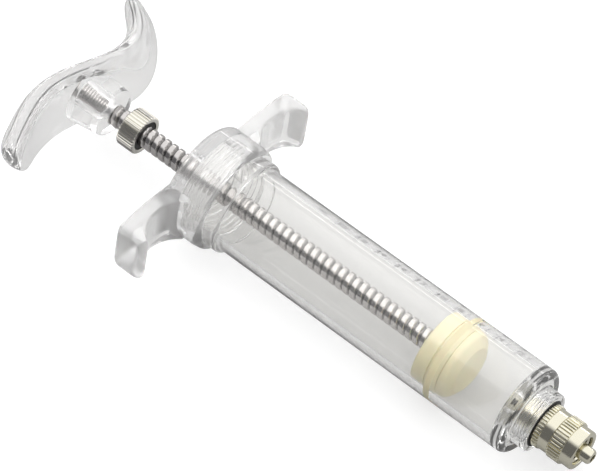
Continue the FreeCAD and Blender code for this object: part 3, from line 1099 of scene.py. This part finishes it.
@dataclass
class Studio:
    """Floor, light and camera.

    Attributes:
        eye: camera place in the syringe's axis frame, in mm.
        right: the picture's right in the axis frame.
        up: the picture's up in the axis frame.
        lens: focal length for a 36 mm wide sensor.
        bright_side: direction, in the row frame, of the half of the room that is bright.
        lamps: two large soft lamps, and a strip whose glint runs along the barrel.
        room: levels of the room's dark and bright halves.
        room_edge: where it starts and ends growing bright, from 0 at the dark pole to 1.
        gloss_boost: how much brighter the room shows in gloss.
        floor_half: half the floor's side in metres.
        floor_level: the floor's own grey.
        floor_glow: light that the floor adds for the camera.
        floor_glow_through: light that it adds where it is seen through plastic.
    """

    eye: Vec3 = (309.33, -623.86, 846.705)
    right: Vec3 = (0.76231, 0.63540, 0.12312)
    up: Vec3 = (-0.54832, 0.53296, 0.64443)
    lens: float = 270.0
    bright_side: Vec3 = (0.0, 0.935, 0.354)
    lamps: tuple[Lamp, ...] = (
        Lamp("key", (-0.3, 0.35, 0.8), (1.4, 1.4), 6.2),
        Lamp("fill", (0.5, -0.1, 0.9), (1.0, 1.0), 3.8),
        Lamp("strip", (-0.35, 1.09, 0.13), (0.7, 0.06), 0.4, True))
    room: tuple[Colour, Colour] = ((0.10, 0.10, 0.105, 1.0), (0.78, 0.78, 0.78, 1.0))
    room_edge: tuple[float, float] = (0.44, 0.60)
    gloss_boost: float = 0.6
    floor_half: float = 3.0
    floor_level: float = 0.45
    floor_glow: float = 0.64
    floor_glow_through: float = 0.33

    def add_camera(self) -> None:
        """Stand the camera where the photograph was taken from."""
        turn = LYING.turn()
        right, up = turn @ np.array(self.right), turn @ np.array(self.up)
        back = np.cross(right, up)
        place = LYING.place(np.array(self.eye)[None])[0]
        data = bpy.data.cameras.new("camera")
        data.lens, data.sensor_width, data.clip_start, data.clip_end = self.lens, 36.0, 0.05, 20.0
        camera = new_object("camera", data)
        basis = np.eye(4)
        basis[:3, 0], basis[:3, 1], basis[:3, 2], basis[:3, 3] = right, up, back, place
        camera.matrix_world = Matrix(basis.tolist())
        bpy.context.scene.camera = camera

    def add_floor(self) -> None:
        """Lay a white floor that keeps the object's shadow and is plain white to camera and glass."""
        half = self.floor_half
        mesh = bpy.data.meshes.new("floor")
        mesh.from_pydata([(-half, -half, 0), (half, -half, 0), (half, half, 0), (-half, half, 0)], [],
                         [(0, 1, 2, 3)])
        floor = new_object("floor", mesh)
        material, tree, shader, _ = nodes_of("floor")
        shader.inputs["Base Color"].default_value = (*[self.floor_level] * 3, 1.0)
        shader.inputs["Roughness"].default_value = 0.9
        shader.inputs["Specular IOR Level"].default_value = 0.0
        shader.inputs["Emission Color"].default_value = (1.0, 1.0, 1.0, 1.0)
        rays = tree.nodes.new("ShaderNodeLightPath")
        open_glow = math_node(tree, "MULTIPLY", self.floor_glow)
        glow = math_node(tree, "MULTIPLY_ADD", self.floor_glow_through)
        wire(tree, (rays.outputs["Is Camera Ray"], open_glow.inputs[0]),
             (rays.outputs["Is Transmission Ray"], glow.inputs[0]),
             (open_glow.outputs[0], glow.inputs[2]),
             (glow.outputs[0], shader.inputs["Emission Strength"]))
        mesh.materials.append(material)

    def add_light(self) -> None:
        """Light the scene with the lamps and a room with a bright half, plain white to the camera."""
        world = bpy.data.worlds.new("world")
        bpy.context.scene.world = world
        world.use_nodes = True
        tree = world.node_tree
        back = tree.nodes["Background"]
        place = tree.nodes.new("ShaderNodeTexCoord")
        side = tree.nodes.new("ShaderNodeVectorMath")
        side.operation = "DOT_PRODUCT"
        side.inputs[1].default_value = self.bright_side
        spread = tree.nodes.new("ShaderNodeMapRange")
        spread.inputs["From Min"].default_value = -1.0
        ramp = tree.nodes.new("ShaderNodeValToRGB")
        for stop, position, colour in zip(ramp.color_ramp.elements, self.room_edge, self.room):
            stop.position, stop.color = position, colour
        rays = tree.nodes.new("ShaderNodeLightPath")
        choose = tree.nodes.new("ShaderNodeMix")
        choose.data_type = "RGBA"
        choose.inputs[7].default_value = (1.0, 1.0, 1.0, 1.0)
        wire(tree, (place.outputs["Generated"], side.inputs[0]),
             (side.outputs["Value"], spread.inputs["Value"]),
             (spread.outputs["Result"], ramp.inputs["Fac"]))
        gloss = math_node(tree, "MULTIPLY_ADD", self.gloss_boost, 1.0)
        wire(tree, (rays.outputs["Is Glossy Ray"], gloss.inputs[0]),
             (gloss.outputs[0], back.inputs["Strength"]),
             (rays.outputs["Is Camera Ray"], choose.inputs[0]),
             (ramp.outputs["Color"], choose.inputs[6]), (choose.outputs[2], back.inputs["Color"]))
        for lamp in self.lamps:
            lamp.build()

    def build(self) -> None:
        """Set up floor, light, camera and the plain view transform."""
        self.add_floor()
        self.add_light()
        self.add_camera()
        bpy.context.scene.view_settings.view_transform = "Standard"


def main() -> None:
    logging.basicConfig(level=logging.INFO, format="%(message)s")
    finish = Finishes()
    Barrel().build(finish.barrel)
    Scale().build(finish.ink)
    WingedCap().build(finish.cap)
    nozzle = Nozzle()
    nozzle.build_adapter(finish.nickel)
    nozzle.build_gasket(finish.rubber)
    nozzle.build_nut(finish.nickel)
    plunger = Plunger()
    plunger.build_rod(finish.rod)
    plunger.build_piston(finish.cream, finish.silicone)
    PalmHandle().build(finish.handle)
    DoseNut().build(finish.dose_nickel, finish.rubber)
    Studio().build()


if __name__ == "__main__":
    main()
